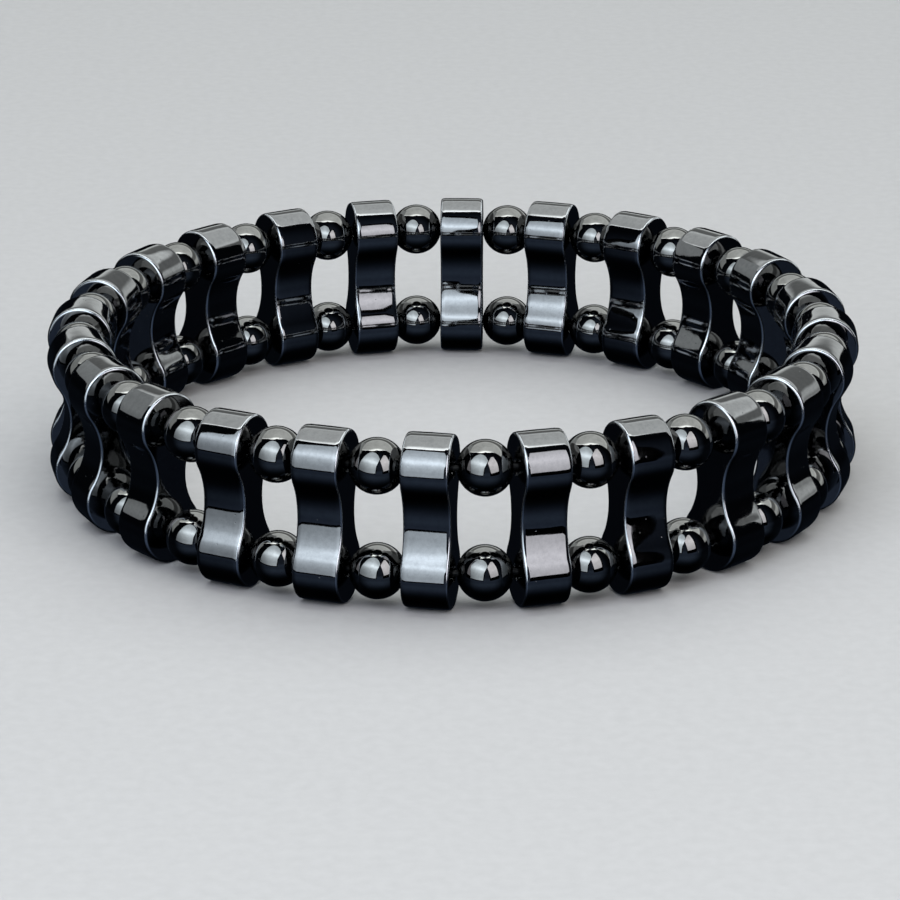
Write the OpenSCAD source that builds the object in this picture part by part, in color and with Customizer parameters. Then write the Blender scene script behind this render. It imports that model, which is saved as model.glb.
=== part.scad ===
/* [Ring] */
// Number of spacers, and of beads in each row
piece_count = 24; // [20:1:28]
// How far the ring is from a circle: offset of its arc centres, making it deeper than wide
oval_offset = 3.0; // [0:0.5:5]
// Place of the first bead along the ring, to the right of the front middle
first_bead_offset = 2.6; // [0:0.1:4]
// Clear gap between a bead and the spacer beside it
piece_gap = 0.1; // [0.08:0.01:0.3]

/* [Bead] */
// Diameter of a round bead
bead_d = 4.6; // [4:0.1:5]
// Diameter of every drilled hole
bore_d = 1.2; // [1.2:0.05:1.4]

/* [Spacer] */
// Width of a spacer along the ring
spacer_w = 3.9; // [3:0.1:5]
// Distance between the two holes of a spacer
hole_spacing = 8.9; // [7:0.1:10]
// Diameter of the round lobe about each hole
lobe_d = 5.7; // [5.2:0.1:6]
// Thickness of the waist between the lobes
waist_t = 3.0; // [2:0.1:4]
// Width of the polished bevel round both side faces
bevel = 0.25; // [0.1:0.05:0.4]

/* [Cord] */
// Diameter of the elastic cord
cord_d = 0.5; // [0.4:0.05:0.6]

/* [Loose places] */
// Extra room about the first bead, at the front
front_slack = 0.2; // [0:0.1:1.5]
// Extra room about the second bead to its right
right_slack = 0.8; // [0:0.1:1.5]
// Extra room about the seventh bead to its right, towards the back
far_slack = 1.0; // [0:0.1:1.5]
// Extra room about the third bead to its left
left_slack = 0.3; // [0:0.1:1.5]

/* [Turned spacers] */
// Turn of the spacer left of the front bead, about its upright middle line
front_turn = -7.5; // [-7.5:0.5:7.5]
// Turn of the spacer right of the front bead
near_turn = 3.5; // [-7.5:0.5:7.5]
// Turn of the second spacer to the right of it
right_turn = -3; // [-7.5:0.5:7.5]
// Turn of the third spacer to the left of the front bead
left_turn = 7.5; // [-7.5:0.5:7.5]

/* [Hidden] */
function two_digits(i) = str(i < 10 ? "0" : "", i);
function spacer_name(i) = str("spacer_", two_digits(i + 1));

SPACERS = [for (i = [0 : piece_count - 1]) spacer_name(i)];

$fn = 48;
gloss_black = "#23252b";
cord_black = "#101012";

bead_r = bead_d / 2;
lobe_r = lobe_d / 2;
bore_r = bore_d / 2;
cord_r = cord_d / 2;
waist_r = waist_t / 2;

// Heights of the two rows: the lower lobes rest on the ground
low_z = lobe_r;
high_z = lobe_r + hole_spacing;
middle_z = lobe_r + hole_spacing / 2;

// A drilled bead is shorter along its hole than its diameter
bead_length = 2 * sqrt(bead_r * bead_r - bore_r * bore_r);
pitch = bead_length + spacer_w + 2 * piece_gap;

// Loose places: [bead, extra room], where bead 0 is the front one and the count runs to its right
slacks = [
    [0, front_slack],
    [2, right_slack],
    [7, far_slack],
    [piece_count - 3, left_slack],
];
// Turned spacers: [spacer, turn]
turns = [
    [0, front_turn],
    [1, near_turn],
    [2, right_turn],
    [piece_count - 2, left_turn],
];
function sum(list, i = 0) = i < len(list) ? list[i] + sum(list, i + 1) : 0;
function slack_at(i) = sum([for (row = slacks) if (row[0] == i) row[1]]);
function slack_before(i) = sum([for (row = slacks) if (row[0] < i) row[1]]);
function turn_of(i) = sum([for (row = turns) if (row[0] == i) row[1]]);
ring_length = piece_count * pitch + slack_before(piece_count);

// The ring is an oval of four quarter arcs, whose centres lie oval_offset from the middle
end_r = (ring_length / PI - sqrt(2) * oval_offset) / 2;
side_r = end_r + sqrt(2) * oval_offset;
// Arcs: [radius, centre], from the front counter-clockwise as seen from above
arcs = [
    [end_r, [0, -oval_offset]],
    [side_r, [-oval_offset, 0]],
    [end_r, [0, oval_offset]],
    [side_r, [oval_offset, 0]],
];
function arc_length(k) = arcs[k][0] * PI / 2;

// Place on the ring at a run along it from the front middle: [x, y, heading]
function wrapped(run) = (run + ring_length) % ring_length;
function ring_at(run) = along_arcs(wrapped(run + arc_length(0) / 2), 0);
function along_arcs(run, k) =
    run > arc_length(k) && k < 3
        ? along_arcs(run - arc_length(k), k + 1)
        : let (r = arcs[k][0], centre = arcs[k][1], h = 90 * k - 45 + 90 * run / arc_length(k))
          [centre[0] + r * sin(h), centre[1] - r * cos(h), h];

// Runs of the pieces: spacer i comes before bead i
first_run = first_bead_offset - slack_at(0) / 2;
function spacer_run(i) = first_run + (i - 0.5) * pitch + slack_before(i);
function bead_run(i) = first_run + i * pitch + slack_before(i) + slack_at(i) / 2;

// Puts a piece, made with its hole along X, at a run along the ring
module on_ring(run, z) {
    p = ring_at(run);
    translate([p[0], p[1], z]) rotate([0, 0, p[2]]) children();
}

// A cylinder along X, whose end edges shrink or grow by the bevel
module bevelled_cylinder(r, change) {
    half = spacer_w / 2;
    rotate([0, 90, 0]) {
        cylinder(r = r, h = spacer_w - 2 * bevel, center = true);
        translate([0, 0, half - bevel]) cylinder(r1 = r, r2 = r + change, h = bevel);
        translate([0, 0, -half]) cylinder(r1 = r + change, r2 = r, h = bevel);
    }
}

// Waist: two hollows that run smoothly into the lobes
half_spacing = hole_spacing / 2;
hollow_r = (half_spacing * half_spacing + waist_r * waist_r - lobe_r * lobe_r)
    / (2 * (lobe_r - waist_r));
hollow_y = waist_r + hollow_r;
// Where hollow and lobe touch, seen from the middle of the spacer
touch_share = lobe_r / (lobe_r + hollow_r);
touch_y = hollow_y * touch_share;
touch_z = half_spacing * (1 - touch_share);

module waist() {
    outline = [
        [half_spacing, 0],
        [touch_z, touch_y],
        [-touch_z, touch_y],
        [-half_spacing, 0],
        [-touch_z, -touch_y],
        [touch_z, -touch_y],
    ];
    difference() {
        rotate([0, -90, 0]) linear_extrude(spacer_w, center = true) polygon(outline);
        for (side = [-1, 1])
            translate([0, side * hollow_y, 0]) bevelled_cylinder(hollow_r, bevel);
    }
}

// Spacer: a two-hole bone shape, its middle at the origin and its holes along X
module spacer() {
    difference() {
        union() {
            waist();
            for (z = [-half_spacing, half_spacing])
                translate([0, 0, z]) bevelled_cylinder(lobe_r, -bevel);
        }
        for (z = [-half_spacing, half_spacing])
            translate([0, 0, z]) rotate([0, 90, 0])
                cylinder(r = bore_r, h = spacer_w + 1, center = true);
    }
}

// Bead: a ball drilled along X
module bead() {
    rotate([0, 90, 0]) difference() {
        sphere(r = bead_r);
        cylinder(r = bore_r, h = bead_d + 1, center = true);
    }
}

module spacer_at(i) {
    color(gloss_black) on_ring(spacer_run(i), middle_z) rotate([0, 0, turn_of(i)]) spacer();
}

module beads(z) {
    color(gloss_black)
        for (i = [0 : piece_count - 1]) on_ring(bead_run(i), z) bead();
}

// Cord: one closed loop through every hole of a row
module cord(z) {
    color(cord_black) translate([0, 0, z])
        for (k = [0 : 3])
            translate(arcs[k][1]) rotate([0, 0, 90 * k - 135])
                rotate_extrude(angle = 90) translate([arcs[k][0], 0]) circle(r = cord_r);
}

cord(high_z);  // upper_cord
cord(low_z);  // lower_cord
beads(high_z);  // upper_beads
beads(low_z);  // lower_beads
for (i = [0 : piece_count - 1])
    spacer_at(i);
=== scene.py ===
"""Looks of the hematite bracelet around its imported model.

Lengths are in millimetres until a mesh is finished, and in metres in the studio.
"""

import math

import bmesh
import bpy
from mathutils import Matrix, Vector


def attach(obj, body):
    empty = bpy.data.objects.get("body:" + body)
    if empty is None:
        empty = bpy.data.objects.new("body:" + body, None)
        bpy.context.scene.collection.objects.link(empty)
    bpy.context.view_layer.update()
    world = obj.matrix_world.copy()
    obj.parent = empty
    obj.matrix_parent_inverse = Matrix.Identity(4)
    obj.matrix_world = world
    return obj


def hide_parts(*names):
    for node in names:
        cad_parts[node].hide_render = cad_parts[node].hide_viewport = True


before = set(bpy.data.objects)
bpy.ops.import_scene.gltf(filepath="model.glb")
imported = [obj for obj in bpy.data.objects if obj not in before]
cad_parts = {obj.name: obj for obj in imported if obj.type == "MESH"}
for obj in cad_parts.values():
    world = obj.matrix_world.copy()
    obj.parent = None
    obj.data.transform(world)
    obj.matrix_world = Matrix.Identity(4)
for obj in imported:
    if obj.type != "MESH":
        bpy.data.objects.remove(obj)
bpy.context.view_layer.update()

# Ring: the model's own driving sizes
PIECES = 24
OVAL_OFFSET = 3.0
FIRST_BEAD_OFFSET = 2.6
PIECE_GAP = 0.1
BEAD_D = 4.6
BORE_D = 1.2
SPACER_W = 3.9
HOLE_SPACING = 8.9
LOBE_D = 5.7
WAIST_T = 3.0
CORD_D = 0.5
# Extra room about a bead, and turn of a spacer about its upright line in degrees
SLACKS = {0: 0.2, 2: 0.8, 7: 1.0, PIECES - 3: 0.3}
TURNS = {0: -7.5, 1: 3.5, 2: -3.0, PIECES - 2: 7.5}

# Round of a spacer's outer edges and of its holes, and the broken edge of a bead's hole
EDGE_ROUND = 0.22
HOLE_ROUND = 0.12
BEAD_EDGE = 0.08
# Roll of a spacer's outer faces beside their edges, and the faint crown between
ROLL_W = 0.25
ROLL_DEPTH = 0.026
CROWN = 0.015
# Stone about a hole that keeps its place under the crown
HOLE_MARGIN = 0.15
# Ground part of a rounded edge: where the share of its normal along X lies between these
GROUND_LOW = 0.4
GROUND_HIGH = 0.93
# Steps of the arcs: a spacer's lobes, hollows and holes, a bead's side and its way round
LOBE_STEPS = 44
HOLLOW_STEPS = 24
HOLE_STEPS = 20
BEAD_STEPS = 44
ROUND_STEPS = 64
# Steps of a quarter of a cord's loop, and sides of the cord
LOOP_STEPS = 60
CORD_SIDES = 16
# Vertices closer together than this are one
MERGE = 0.001

BEAD_R = BEAD_D / 2
BORE_R = BORE_D / 2
LOBE_R = LOBE_D / 2
WAIST_R = WAIST_T / 2
HALF_SPACING = HOLE_SPACING / 2
LOW_Z = LOBE_R
HIGH_Z = LOBE_R + HOLE_SPACING
MIDDLE_Z = LOBE_R + HALF_SPACING
# The waist's two hollows, and the height at which hollow and lobe touch
HOLLOW_R = (HALF_SPACING**2 + WAIST_R**2 - LOBE_R**2) / (2 * (LOBE_R - WAIST_R))
TOUCH_Z = HALF_SPACING * HOLLOW_R / (LOBE_R + HOLLOW_R)
METRES = Matrix.Scale(0.001, 4)

PITCH = 2 * math.sqrt(BEAD_R**2 - BORE_R**2) + SPACER_W + 2 * PIECE_GAP
RING_LENGTH = PIECES * PITCH + sum(SLACKS.values())
FIRST_RUN = FIRST_BEAD_OFFSET - SLACKS[0] / 2
END_R = (RING_LENGTH / math.pi - math.sqrt(2) * OVAL_OFFSET) / 2
SIDE_R = END_R + math.sqrt(2) * OVAL_OFFSET
# The oval's four quarter arcs, from the front counter-clockwise: radius and centre
ARCS = [
    (END_R, Vector((0, -OVAL_OFFSET, 0))),
    (SIDE_R, Vector((-OVAL_OFFSET, 0, 0))),
    (END_R, Vector((0, OVAL_OFFSET, 0))),
    (SIDE_R, Vector((OVAL_OFFSET, 0, 0))),
]


def slack_before(i):
    return sum(room for bead, room in SLACKS.items() if bead < i)


def on_ring(run, z, turn=0.0):
    """Places a piece, made with its hole along X, at a run along the ring from its front middle."""
    rest = (run + ARCS[0][0] * math.pi / 4) % RING_LENGTH
    for quarter, (radius, centre) in enumerate(ARCS):
        length = radius * math.pi / 2
        if rest <= length:
            break
        rest -= length
    heading = math.radians(90 * quarter - 45) + rest / radius
    place = centre + radius * Vector((math.sin(heading), -math.cos(heading), 0))
    place.z = z
    return Matrix.Translation(place) @ Matrix.Rotation(heading + math.radians(turn), 4, "Z")


def spacer_place(i):
    run = FIRST_RUN + (i - 0.5) * PITCH + slack_before(i)
    return on_ring(run, MIDDLE_Z, TURNS.get(i, 0.0))


def bead_place(i, z):
    run = FIRST_RUN + i * PITCH + slack_before(i) + SLACKS.get(i, 0.0) / 2
    return on_ring(run, z)


# Materials

# How many to a millimetre: veins 0.45 mm apart, pits 0.9 mm, smudges 0.6 mm, swells of the
# polish 2.9 mm, and ribs of the cord 0.11 mm
VEINS = 2.2
PITS = 1.1
SMUDGES = 1.6
SWELLS = 0.35
RIBS = 9.0
# The stone's grain is a few hundredths of a millimetre, too fine to show, so drawn 0.25 mm wide
GRAINS = 4.0
# Heights of the same marks, in metres
SWELL_HEIGHT = 0.0002
PIT_DEPTH = 0.00002
GRAIN_HEIGHT = 0.0000015
RIB_HEIGHT = 0.00005
# Roughness of ground stone
GROUND_ROUGHNESS = 0.2
# How many times rougher than the polish a smudge is, and wider than its floor a pit's rim
SMUDGED = 2.2
PIT_RIM = 1.8
# Paper fibres to a metre: finer in real paper, drawn 1.1 mm wide
FIBRES = 900.0


def colour(hex_code):
    """Linear colour of an sRGB hex value."""
    parts = [int(hex_code[i : i + 2], 16) / 255 for i in (1, 3, 5)]
    linear = [c / 12.92 if c <= 0.04045 else ((c + 0.055) / 1.055) ** 2.4 for c in parts]
    return (*linear, 1.0)


def grey(level):
    return (level, level, level, 1.0)


def add(tree, kind, settings=(), links=(), stops=()):
    """Adds a node, with its properties and socket values, its links and a ramp's colour stops.

    A link comes from a socket, or from a node's first output.
    """
    node = tree.nodes.new("ShaderNode" + kind)
    for name, value in dict(settings).items():
        if isinstance(name, str) and hasattr(node, name):
            setattr(node, name, value)
        else:
            node.inputs[name].default_value = value
    for name, source in dict(links).items():
        socket = source.outputs[0] if isinstance(source, bpy.types.Node) else source
        tree.links.new(socket, node.inputs[name])
    if stops:
        band = node.color_ramp.elements
        band.remove(band[0])
        band[0].position, band[0].color = stops[0]
        for position, shade in stops[1:]:
            band.new(position).color = shade
    return node


def new_material(name):
    material = bpy.data.materials.new(name)
    material.use_nodes = True
    material.node_tree.nodes.clear()
    return material, material.node_tree


def millimetres(tree):
    """A piece's own coordinates, in millimetres."""
    place = add(tree, "TexCoord").outputs["Object"]
    return add(tree, "Mapping", {"Scale": (1000, 1000, 1000)}, {"Vector": place})


def polished_hematite(name, pale, base, vein, pit_size, roughness):
    """Hematite, an iron oxide, cut or tumbled and then mirror-polished.

    It gives the eye a dark metal shine with faint veins, pits, smudges and mottling. A piece's
    ground attribute marks where an edge is only ground, not polished: a satin, paler line.
    """
    material, tree = new_material(name)
    mm = millimetres(tree)
    ground = add(tree, "Attribute", {"attribute_name": "ground"}).outputs["Fac"]

    veins = add(tree, "TexNoise", {"Scale": VEINS, "Detail": 8.0, "Roughness": 0.72},
                {"Vector": mm})
    stone = add(tree, "ValToRGB", links={"Fac": veins}, stops=[
        (0.32, colour(pale)), (0.5, colour(base)), (0.68, colour(vein))])
    tint = add(tree, "Mix", {"data_type": "RGBA", 7: colour("#ced2d8")}, {0: ground, 6: stone})

    smudges = add(tree, "TexNoise", {"Scale": SMUDGES, "Detail": 6.0, "Roughness": 0.72},
                  {"Vector": mm})
    gloss = add(tree, "MapRange", {"From Min": 0.40, "From Max": 0.72, "To Min": roughness,
                                   "To Max": roughness * SMUDGED}, {"Value": smudges})
    satin = add(tree, "Mix", {"data_type": "FLOAT", 3: GROUND_ROUGHNESS}, {0: ground, 2: gloss})

    swells = add(tree, "TexNoise", {"Scale": SWELLS, "Detail": 1.0}, {"Vector": mm})
    waves = add(tree, "Bump", {"Strength": 0.12, "Distance": SWELL_HEIGHT}, {"Height": swells})
    cells = add(tree, "TexVoronoi", {"Scale": PITS, "Randomness": 1.0}, {"Vector": mm})
    pits = add(tree, "ValToRGB", links={"Fac": cells.outputs["Distance"]}, stops=[
        (0.0, grey(0.0)), (pit_size, grey(0.0)), (pit_size * PIT_RIM, grey(1.0))])
    dents = add(tree, "Bump", {"Strength": 0.35, "Distance": PIT_DEPTH},
                {"Height": pits, "Normal": waves})
    grains = add(tree, "TexNoise", {"Scale": GRAINS, "Detail": 4.0, "Roughness": 0.6},
                 {"Vector": mm})
    mottle = add(tree, "Bump", {"Strength": 0.4, "Distance": GRAIN_HEIGHT},
                 {"Height": grains, "Normal": dents})

    shader = add(tree, "BsdfPrincipled", {"Metallic": 1.0}, {
        "Base Color": tint.outputs[2], "Roughness": satin, "Normal": mottle})
    add(tree, "OutputMaterial", links={"Surface": shader})
    return material


def black_elastic():
    """Elastic jewellery cord, black rubber threads under a thin braid: dull, with a faint rib."""
    material, tree = new_material("black_elastic_cord")
    ribs = add(tree, "TexNoise", {"Scale": RIBS, "Detail": 2.0}, {"Vector": millimetres(tree)})
    bump = add(tree, "Bump", {"Strength": 0.4, "Distance": RIB_HEIGHT}, {"Height": ribs})
    shade = add(tree, "ValToRGB", links={"Fac": ribs}, stops=[
        (0.35, colour("#0e0e10")), (0.7, colour("#1c1c1f"))])
    shader = add(tree, "BsdfPrincipled", {"Roughness": 0.55}, {"Base Color": shade, "Normal": bump})
    add(tree, "OutputMaterial", links={"Surface": shader})
    return material


# Pieces


def finished(name, shape, material, slot, *nodes):
    """Turns a mesh in millimetres into a piece that stands for CAD nodes."""
    bmesh.ops.transform(shape, matrix=METRES, verts=shape.verts)
    mesh = bpy.data.meshes.new(name)
    shape.to_mesh(mesh)
    shape.free()
    mesh.materials.append(material)
    piece = bpy.data.objects.new(name, mesh)
    bpy.context.collection.objects.link(piece)
    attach(piece, "root")
    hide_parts(*nodes)
    return piece


def strung(shape, places):
    """Copies of a shape at several places, as one mesh."""
    sample = bpy.data.meshes.new("sample")
    shape.to_mesh(sample)
    shape.free()
    row = bmesh.new()
    for place in places:
        first = len(row.verts)
        row.from_mesh(sample)
        row.verts.ensure_lookup_table()
        bmesh.ops.transform(row, matrix=place, verts=row.verts[first:])
    bpy.data.meshes.remove(sample)
    return row


def everything(shape):
    return shape.verts[:] + shape.edges[:] + shape.faces[:]


def last_vertex(spun):
    return next(v for v in spun["geom_last"] if isinstance(v, bmesh.types.BMVert))


def smoothed(shape):
    """Closes a spun mesh, turns its faces outwards and shades them smooth."""
    bmesh.ops.remove_doubles(shape, verts=shape.verts, dist=MERGE)
    bmesh.ops.recalc_face_normals(shape, faces=shape.faces)
    for face in shape.faces:
        face.smooth = True
    return shape


def arc(shape, start, centre, angle, steps):
    """Draws an arc about X from a vertex, and gives its last vertex."""
    return last_vertex(bmesh.ops.spin(shape, geom=[start], cent=centre, axis=(1, 0, 0),
                                      angle=math.radians(angle), steps=steps))


def half_outline():
    """Half of a spacer's side face: lobe, hollow and lobe outside, the two half holes inside."""
    touch = math.degrees(math.asin(HALF_SPACING / (LOBE_R + HOLLOW_R)))
    hollow = Vector((0, WAIST_R + HOLLOW_R, 0))
    upper = Vector((0, 0, HALF_SPACING))
    lower = -upper
    shape = bmesh.new()
    top = shape.verts.new(upper + Vector((0, 0, LOBE_R)))
    end = arc(shape, top, upper, -90 - touch, LOBE_STEPS)
    end = arc(shape, end, hollow, 2 * touch, HOLLOW_STEPS)
    bottom = arc(shape, end, lower, -90 - touch, LOBE_STEPS)
    low_start = shape.verts.new(lower - Vector((0, 0, BORE_R)))
    low_end = arc(shape, low_start, lower, 180, HOLE_STEPS)
    high_start = shape.verts.new(upper - Vector((0, 0, BORE_R)))
    high_end = arc(shape, high_start, upper, 180, HOLE_STEPS)
    for a, b in ((bottom, low_start), (low_end, high_start), (high_end, top)):
        shape.edges.new((a, b))
    return shape


def square_spacer():
    """A bone-shaped spacer with two drilled holes along X, its edges still square."""
    shape = half_outline()
    bmesh.ops.contextual_create(shape, geom=shape.edges[:])
    bmesh.ops.mirror(shape, geom=everything(shape), axis="Y", merge_dist=MERGE)
    bmesh.ops.translate(shape, vec=(-SPACER_W / 2, 0, 0), verts=shape.verts)
    walls = bmesh.ops.extrude_face_region(shape, geom=shape.faces[:], use_keep_orig=True)
    moved = [v for v in walls["geom"] if isinstance(v, bmesh.types.BMVert)]
    bmesh.ops.translate(shape, vec=(SPACER_W, 0, 0), verts=moved)
    bmesh.ops.recalc_face_normals(shape, faces=shape.faces)
    return shape


def from_hole(point):
    """Distance of a point from the axis of the nearer of a spacer's holes."""
    return math.hypot(point.y, abs(point.z) - HALF_SPACING)


def is_rim(edge):
    """Whether an edge of a square spacer runs round one of its two side faces."""
    ends = edge.verts
    faces = edge.link_faces
    return (abs(ends[0].co.x - ends[1].co.x) < 0.01 and len(faces) == 2
            and abs(faces[0].normal.x - faces[1].normal.x) > 0.5)


def round_edges(shape):
    """Rounds a spacer's outer edges and its holes, and marks the ground part of the rounds."""
    outer, holes = [], []
    for edge in filter(is_rim, shape.edges):
        middle = (edge.verts[0].co + edge.verts[1].co) / 2
        (holes if from_hole(middle) < BORE_R + HOLE_MARGIN else outer).append(edge)
    for edges, width, segments in ((outer, EDGE_ROUND, 5), (holes, HOLE_ROUND, 2)):
        bmesh.ops.bevel(shape, geom=edges, offset=width, offset_type="OFFSET", segments=segments,
                        profile=0.5, affect="EDGES", clamp_overlap=True, material=-1)
    shape.normal_update()
    ground = shape.faces.layers.float.new("ground")
    for face in shape.faces:
        face[ground] = 1.0 if GROUND_LOW < abs(face.normal.x) < GROUND_HIGH else 0.0


def outward(point):
    """Direction square to a spacer's outer face, at a point of it."""
    if abs(point.z) > TOUCH_Z:
        way = Vector((0, point.y, point.z - math.copysign(HALF_SPACING, point.z)))
    else:
        way = Vector((0, math.copysign(WAIST_R + HOLLOW_R, point.y) - point.y, -point.z))
    return way.normalized()


def roll_off(x, flat):
    """Depth of a spacer's outer face under its middle line, at a place along its width."""
    if abs(x) >= flat:
        return CROWN + ROLL_DEPTH
    past = max(0.0, abs(x) - flat + ROLL_W) / ROLL_W
    return CROWN * (x / flat) ** 2 + ROLL_DEPTH * past**2


def crown_faces(shape):
    """Gives a spacer's outer faces their faint crown and their roll beside the edges."""
    flat = SPACER_W / 2 - EDGE_ROUND
    rolled = [flat - ROLL_W * share for share in (0.25, 0.5, 0.75, 1.0)]
    for x in [0, -flat / 2, flat / 2, *rolled, *(-x for x in rolled)]:
        bmesh.ops.bisect_plane(shape, geom=everything(shape), plane_co=(x, 0, 0),
                               plane_no=(1, 0, 0))
    for v in shape.verts:
        if from_hole(v.co) > BORE_R + HOLE_MARGIN:
            v.co -= outward(v.co) * roll_off(v.co.x, flat)


def spacer_shape():
    """A spacer with narrow polished edges, whose side faces alone are shaded flat."""
    shape = square_spacer()
    round_edges(shape)
    crown_faces(shape)
    shape.normal_update()
    for face in shape.faces:
        face.smooth = abs(face.normal.x) < 0.99
    return shape


def bead_shape():
    """A round bead drilled along X, with a small broken edge at each end of the hole."""
    shape = bmesh.new()
    rim_r = BORE_R + BEAD_EDGE
    rim_x = math.sqrt(BEAD_R**2 - rim_r**2)
    bore_x = rim_x - BEAD_EDGE
    sweep = 2 * math.atan2(rim_x, rim_r)
    start = shape.verts.new((rim_x, 0, rim_r))
    end = last_vertex(bmesh.ops.spin(shape, geom=[start], cent=(0, 0, 0), axis=(0, 1, 0),
                                     angle=-sweep, steps=BEAD_STEPS))
    right = shape.verts.new((bore_x, 0, BORE_R))
    left = shape.verts.new((-bore_x, 0, BORE_R))
    for pair in ((start, right), (right, left), (left, end)):
        shape.edges.new(pair)
    bmesh.ops.spin(shape, geom=shape.verts[:] + shape.edges[:], cent=(0, 0, 0), axis=(1, 0, 0),
                   angle=2 * math.pi, steps=ROUND_STEPS, use_merge=True)
    return smoothed(shape)


def cord_shape(z):
    """One closed loop of cord through every hole of a row."""
    shape = bmesh.new()
    upright = Matrix.Rotation(math.radians(90), 4, "Y")
    for quarter, (radius, centre) in enumerate(ARCS):
        middle = centre + Vector((0, 0, z))
        start = Matrix.Rotation(math.radians(90 * quarter - 45), 4, "Z")
        out = Matrix.Translation((0, -radius, 0))
        place = Matrix.Translation(middle) @ start @ out @ upright
        ring = bmesh.ops.create_circle(shape, segments=CORD_SIDES, radius=CORD_D / 2)
        bmesh.ops.transform(shape, matrix=place, verts=ring["verts"])
        edges = list({e for v in ring["verts"] for e in v.link_edges})
        bmesh.ops.spin(shape, geom=ring["verts"] + edges, cent=middle, axis=(0, 0, 1),
                       angle=math.pi / 2, steps=LOOP_STEPS)
    return smoothed(shape)


def make_bracelet():
    cut = polished_hematite("cut_mirror_polished_hematite", "#8d8e90", "#87888a", "#7f8082",
                            pit_size=0.04, roughness=0.035)
    tumbled = polished_hematite("tumbled_mirror_polished_hematite", "#8f8f8e", "#888887",
                                "#7e7e7d", pit_size=0.03, roughness=0.025)
    elastic = black_elastic()
    for i in range(PIECES):
        name = f"spacer_{i + 1:02d}"
        spacer = strung(spacer_shape(), [spacer_place(i)])
        piece = finished("hematite_" + name, spacer, cut, "spacer_hematite", name)
        piece.modifiers.new("hardened_edges", "WEIGHTED_NORMAL").keep_sharp = True
    for row, z in (("upper", HIGH_Z), ("lower", LOW_Z)):
        beads = strung(bead_shape(), [bead_place(i, z) for i in range(PIECES)])
        finished(f"hematite_{row}_beads", beads, tumbled, "bead_hematite", f"{row}_beads")
        finished(f"elastic_{row}_cord", cord_shape(z), elastic, "elastic", f"{row}_cord")


# Studio

# Camera, in millimetres and degrees
CAMERA_DISTANCE = 387.9
CAMERA_ELEVATION = 19.108
CAMERA_SIDE = -0.2
AIM_HEIGHT = 1.54
LENS = 178.0
# Half the floor's width
FLOOR_REACH = 6.0
# A panel's corners are given as directions from the front of the ring: azimuth and elevation in
# degrees, with azimuth 0 at the camera's side and positive to the right
FRONT = Vector((0.003, -0.032, 0.007))
LEFT_BOX = [
    (-75, -4), (-8, -11), (-5, 16), (14, 46), (6, 62), (-16, 70), (-50, 69), (-64, 62),
    (-71, 47), (-72, 34), (-74, 22),
]
LEFT_LIP = [
    (-79, -6.5), (-5, -14), (-1, 14), (18, 46), (10, 66), (-14, 76), (-54, 75), (-69, 66),
    (-76, 48), (-77, 36), (-78, 24),
]
RIGHT_BOX = [(22, -3), (53, 1), (54.5, 28), (53, 56), (40, 58), (11, 39)]
RIGHT_LIP = [(19, -14), (57, -10), (60, 28), (59, 60), (40, 63), (12, 42)]
LEFT_WALL = [(-155, 15), (-101, 9), (-101, 38), (-150, 38)]
BOX_DISTANCE = 0.1
LEFT_BOX_DISTANCE = 0.2
WALL_DISTANCE = 0.4
LIP_DEPTH = 0.001
# Brightness of a panel, by height and from left to right: place in metres and share of its
# strength, and the range in which the places lie
LEFT_UPRIGHT = [
    (-0.01, 0.4), (0.012, 0.38), (0.031, 0.46), (0.048, 0.62), (0.06, 0.97), (0.067, 1.0),
    (0.078, 0.76), (0.094, 0.52), (0.12, 0.42),
]
LEFT_ACROSS = [(-0.15, 0.3), (-0.097, 0.5), (-0.069, 0.74), (-0.03, 1.0), (0.02, 0.9)]
RIGHT_UPRIGHT = [
    (0.0, 0.66), (0.012, 0.67), (0.029, 0.74), (0.046, 0.86), (0.06, 1.0), (0.075, 0.93),
    (0.09, 0.81), (0.113, 0.62),
]
RIGHT_ACROSS = [(0.0, 1.0), (0.1, 0.95)]
WALL_UPRIGHT = [(0.0, 0.5), (0.16, 1.0)]
WALL_ACROSS = [(-0.15, 1.0)]
UPRIGHT_RANGE = (-0.04, 0.16)
ACROSS_RANGE = (-0.15, 0.15)
# Lower edge of the dome that the stones mirror: azimuth and elevation in degrees
DOME_EDGE = [
    (-180, 12), (-150, 16), (-125, 30), (-108, 47), (-92, 63), (-60, 74), (-30, 81), (0, 84),
    (30, 82), (60, 77), (84, 69), (93, 60), (97, 6), (120, 3), (140, 9), (180, 12),
]
# Elevations are shares of the range from LOWEST to overhead, and so are the softness of the
# dome's edge and the width of its bright rim
LOWEST = -30
ELEVATIONS = 90 - LOWEST
SOFT_EDGE = 0.4 / ELEVATIONS
RIM_WIDTH = 7.0 / ELEVATIONS
# The dome's panes: height, as the share of a direction along Z, and brightness
PANES = [
    (0.12, 0.3), (0.2, 0.6), (0.3, 0.6), (0.37, 0.2), (0.555, 0.2), (0.6, 1.0), (0.68, 0.78),
    (0.9, 0.85), (1.0, 0.95),
]
DOME_STRENGTH = 1.75
# Shades of the dark studio under the dome, from straight below at 0 to overhead at 1
DARK_SHADES = [
    (0.0, "#070a0d"), (0.08, "#1e262f"), (0.13, "#2d3543"), (0.2, "#3d4859"), (0.26, "#424e5f"),
    (0.33, "#3a4455"), (0.43, "#414c5d"), (0.5, "#2e3541"), (1.0, "#313946"),
]


def aim(azimuth, elevation):
    """Unit direction of an azimuth and elevation in degrees."""
    a = math.radians(azimuth)
    e = math.radians(elevation)
    return Vector((math.sin(a) * math.cos(e), -math.cos(a) * math.cos(e), math.sin(e)))


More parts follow.
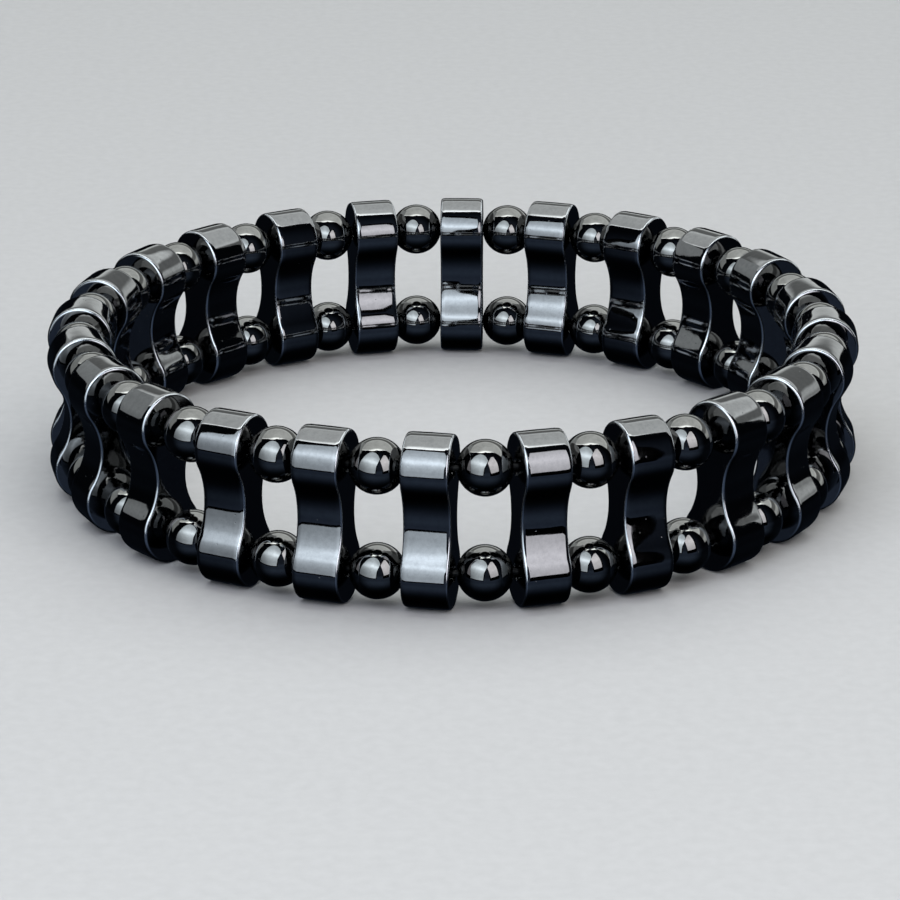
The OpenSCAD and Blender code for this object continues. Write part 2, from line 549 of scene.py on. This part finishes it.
def levels(tree, value, low, high, stops):
    """Brightness along an axis, from stops whose places lie between low and high."""
    share = add(tree, "MapRange", {"From Min": low, "From Max": high}, {"Value": value})
    return add(tree, "ValToRGB", links={"Fac": share}, stops=[
        ((place - low) / (high - low), grey(level)) for place, level in stops])


def diffuser(name, shade, strength, upright, across, distance=BOX_DISTANCE):
    """White nylon or paper lit from behind, brightest before its lamps: a soft bright band.

    Where a distance is given, the places of upright and across are those on a panel at
    BOX_DISTANCE that looks the same from the front of the ring.
    """
    material, tree = new_material(name)
    size = BOX_DISTANCE / distance
    near = add(tree, "Mapping", {"Location": FRONT * (1 - size), "Scale": (size, size, size)},
               {"Vector": add(tree, "TexCoord").outputs["Object"]})
    axes = add(tree, "SeparateXYZ", links={"Vector": near}).outputs
    glow = add(tree, "Math", {"operation": "MULTIPLY"}, {
        0: levels(tree, axes["Z"], *UPRIGHT_RANGE, upright),
        1: levels(tree, axes["X"], *ACROSS_RANGE, across)})
    power = add(tree, "Math", {"operation": "MULTIPLY", 1: strength}, {0: glow})
    light = add(tree, "Emission", {"Color": colour(shade)}, {"Strength": power})
    add(tree, "OutputMaterial", links={"Surface": light})
    return material


def black_nylon():
    """Matt black nylon of a softbox's lip: a black line round its reflection."""
    material, tree = new_material("matt_black_nylon")
    shader = add(tree, "BsdfPrincipled", {
        "Base Color": colour("#050505"), "Roughness": 0.9, "Specular IOR Level": 0.1})
    add(tree, "OutputMaterial", links={"Surface": shader})
    return material


def paper_floor():
    """Matt pale grey paper: an even, dull ground with a faint fibre."""
    material, tree = new_material("matt_paper")
    place = add(tree, "TexCoord").outputs["Object"]
    fibres = add(tree, "TexNoise", {"Scale": FIBRES, "Detail": 4.0}, {"Vector": place})
    shade = add(tree, "ValToRGB", links={"Fac": fibres}, stops=[
        (0.3, colour("#c4c5c7")), (0.7, colour("#c9cacc"))])
    shader = add(tree, "BsdfPrincipled", {"Roughness": 0.9, "Specular IOR Level": 0.2},
                 {"Base Color": shade})
    add(tree, "OutputMaterial", links={"Surface": shader})
    return material


def studio_piece(name, corners, material):
    shape = bmesh.new()
    bmesh.ops.contextual_create(shape, geom=[shape.verts.new(c) for c in corners])
    mesh = bpy.data.meshes.new(name)
    shape.to_mesh(mesh)
    shape.free()
    mesh.materials.append(material)
    piece = bpy.data.objects.new(name, mesh)
    bpy.context.collection.objects.link(piece)
    return piece


def panel(name, directions, facing, distance, material):
    """A flat panel square to the direction facing, seen in reflections only."""
    normal = aim(*facing)
    corners = [FRONT + aim(*d) * (distance / aim(*d).dot(normal)) for d in directions]
    piece = studio_piece(name, corners, material)
    piece.visible_camera = False
    piece.visible_diffuse = False
    piece.visible_shadow = False


def softbox(name, facing, distance, box, light, lip, nylon):
    """The lit front of a softbox, and its dark lip just behind."""
    panel(name, box, facing, distance, light)
    panel(name + "_lip", lip, facing, distance + LIP_DEPTH, nylon)


def soft_light(name, direction, distance, size, watts, shade):
    """A broad lamp for the floor, which the stones don't mirror."""
    data = bpy.data.lights.new(name, "AREA")
    data.size = size
    data.energy = watts
    data.color = colour(shade)[:3]
    lamp = bpy.data.objects.new(name, data)
    bpy.context.collection.objects.link(lamp)
    lamp.location = aim(*direction) * distance
    lamp.rotation_euler = aim(*direction).to_track_quat("Z", "Y").to_euler()
    lamp.visible_glossy = False
    lamp.visible_camera = False


def make_studio():
    sides = ((-1, -1), (1, -1), (1, 1), (-1, 1))
    corners = [(x * FLOOR_REACH, y * FLOOR_REACH, 0) for x, y in sides]
    floor = studio_piece("floor", corners, paper_floor())
    # The stones mirror the dark studio below them, not the floor
    floor.visible_glossy = False
    floor.visible_diffuse = False

    nylon = black_nylon()
    left_light = diffuser("left_diffuser", "#eaf6ff", strength=3.6, upright=LEFT_UPRIGHT,
                          across=LEFT_ACROSS, distance=LEFT_BOX_DISTANCE)
    softbox("left_softbox", facing=(-32, 30), distance=LEFT_BOX_DISTANCE,
            box=LEFT_BOX, light=left_light, lip=LEFT_LIP, nylon=nylon)
    right_light = diffuser("right_diffuser", "#fcfaff", strength=2.3, upright=RIGHT_UPRIGHT,
                           across=RIGHT_ACROSS)
    softbox("right_softbox", facing=(38, 27), distance=BOX_DISTANCE,
            box=RIGHT_BOX, light=right_light, lip=RIGHT_LIP, nylon=nylon)
    wall_light = diffuser("left_paper", "#f0f6f6", strength=0.6, upright=WALL_UPRIGHT,
                          across=WALL_ACROSS)
    panel("left_wall", LEFT_WALL, facing=(-128, 24), distance=WALL_DISTANCE, material=wall_light)

    soft_light("left_lamp", (-35, 42), distance=0.6, size=0.45, watts=1.5, shade="#f4f7ff")
    soft_light("right_lamp", (38, 42), distance=0.6, size=0.45, watts=1.2, shade="#fffaf6")
    soft_light("overhead_lamp", (180, 70), distance=0.7, size=0.6, watts=0.9, shade="#fffefa")


def above_edge(tree, axes):
    """How far a direction lies above the dome's lower edge, as a share of the elevations."""
    ahead = add(tree, "Math", {"operation": "MULTIPLY", 1: -1.0}, {0: axes["Y"]})
    azimuth = add(tree, "Math", {"operation": "ARCTAN2"}, {0: axes["X"], 1: ahead})
    turn = add(tree, "MapRange", {"From Min": -math.pi, "From Max": math.pi}, {"Value": azimuth})
    rise = add(tree, "Math", {"operation": "ARCSINE"}, {0: axes["Z"]})
    height = add(tree, "MapRange", {"From Min": math.radians(LOWEST),
                                    "From Max": math.radians(90)}, {"Value": rise})
    edge = add(tree, "ValToRGB", links={"Fac": turn}, stops=[
        ((a + 180) / 360, grey((e - LOWEST) / ELEVATIONS)) for a, e in DOME_EDGE])
    return add(tree, "Math", {"operation": "SUBTRACT"}, {0: height, 1: edge})


def dome_light(tree, axes, above):
    """Grey light of the dome in panes, brighter along its edge and on the camera's side.

    That brightening grows with height, and the dome is darker to the left.
    """
    fade = add(tree, "MapRange", {"From Max": RIM_WIDTH, "To Min": 1.0, "To Max": 0.0},
               {"Value": above})
    nearer = add(tree, "MapRange", {"interpolation_type": "SMOOTHSTEP", "From Min": -0.12,
                                    "From Max": 0.07, "To Min": 1.0, "To Max": 0.0},
                 {"Value": axes["Y"]})
    lit = add(tree, "Math", {"operation": "MAXIMUM"}, {0: fade, 1: nearer})
    boost = add(tree, "MapRange", {"From Min": 0.5, "From Max": 0.85, "To Min": 0.3,
                                   "To Max": 2.4}, {"Value": axes["Z"]})
    rim = add(tree, "Math", {"operation": "MULTIPLY_ADD", 2: 1.0}, {0: lit, 1: boost})
    side = add(tree, "MapRange", {"From Min": -1.0, "From Max": 1.0, "To Min": 0.75,
                                  "To Max": 1.05}, {"Value": axes["X"]})
    panes = add(tree, "ValToRGB", links={"Fac": axes["Z"]}, stops=[
        (height, grey(level)) for height, level in PANES])
    glow = add(tree, "Math", {"operation": "MULTIPLY"}, {0: side, 1: panes})
    bright = add(tree, "Math", {"operation": "MULTIPLY"}, {0: glow, 1: rim})
    level = add(tree, "Math", {"operation": "MULTIPLY", 1: DOME_STRENGTH}, {0: bright})
    return add(tree, "Background", {"Color": colour("#f1f5f3")}, {"Strength": level})


def dark_light(tree, axes):
    """Blue-black light of the dark studio, dimmest behind the ring."""
    upright = add(tree, "MapRange", {"From Min": -1.0, "From Max": 1.0}, {"Value": axes["Z"]})
    shade = add(tree, "ValToRGB", links={"Fac": upright}, stops=[
        (height, colour(hex_code)) for height, hex_code in DARK_SHADES])
    front = add(tree, "MapRange", {"interpolation_type": "SMOOTHSTEP", "From Min": -0.1,
                                   "From Max": -0.85, "To Min": 0.1, "To Max": 1.0},
                {"Value": axes["Y"]})
    return add(tree, "Background", links={"Color": shade, "Strength": front})


def make_world():
    """A grey dome over a dark studio for the stones to mirror, and pale grey for the camera."""
    world = bpy.data.worlds.new("studio")
    bpy.context.scene.world = world
    world.use_nodes = True
    tree = world.node_tree
    tree.nodes.clear()
    way = add(tree, "TexCoord").outputs["Generated"]
    axes = add(tree, "SeparateXYZ", links={"Vector": way}).outputs
    above = above_edge(tree, axes)
    in_dome = add(tree, "MapRange", {"interpolation_type": "SMOOTHSTEP", "From Min": -SOFT_EDGE,
                                     "From Max": SOFT_EDGE}, {"Value": above})
    studio = add(tree, "MixShader", links={
        0: in_dome, 1: dark_light(tree, axes), 2: dome_light(tree, axes, above)})
    pale = add(tree, "Background", {"Color": colour("#d4d5d7"), "Strength": 1.0})
    seen = add(tree, "LightPath").outputs["Is Camera Ray"]
    both = add(tree, "MixShader", links={0: seen, 1: studio, 2: pale})
    add(tree, "OutputWorld", links={"Surface": both})


def make_camera():
    tilt = math.radians(CAMERA_ELEVATION)
    data = bpy.data.cameras.new("camera")
    data.lens = LENS
    camera = bpy.data.objects.new("camera", data)
    bpy.context.collection.objects.link(camera)
    back = CAMERA_DISTANCE * math.cos(tilt)
    up = CAMERA_DISTANCE * math.sin(tilt)
    camera.location = METRES @ Vector((CAMERA_SIDE, -back, AIM_HEIGHT + up))
    camera.rotation_euler = (math.radians(90) - tilt, 0, 0)
    bpy.context.scene.camera = camera
    bpy.context.scene.view_settings.view_transform = "Standard"


make_bracelet()
make_studio()
make_world()
make_camera()
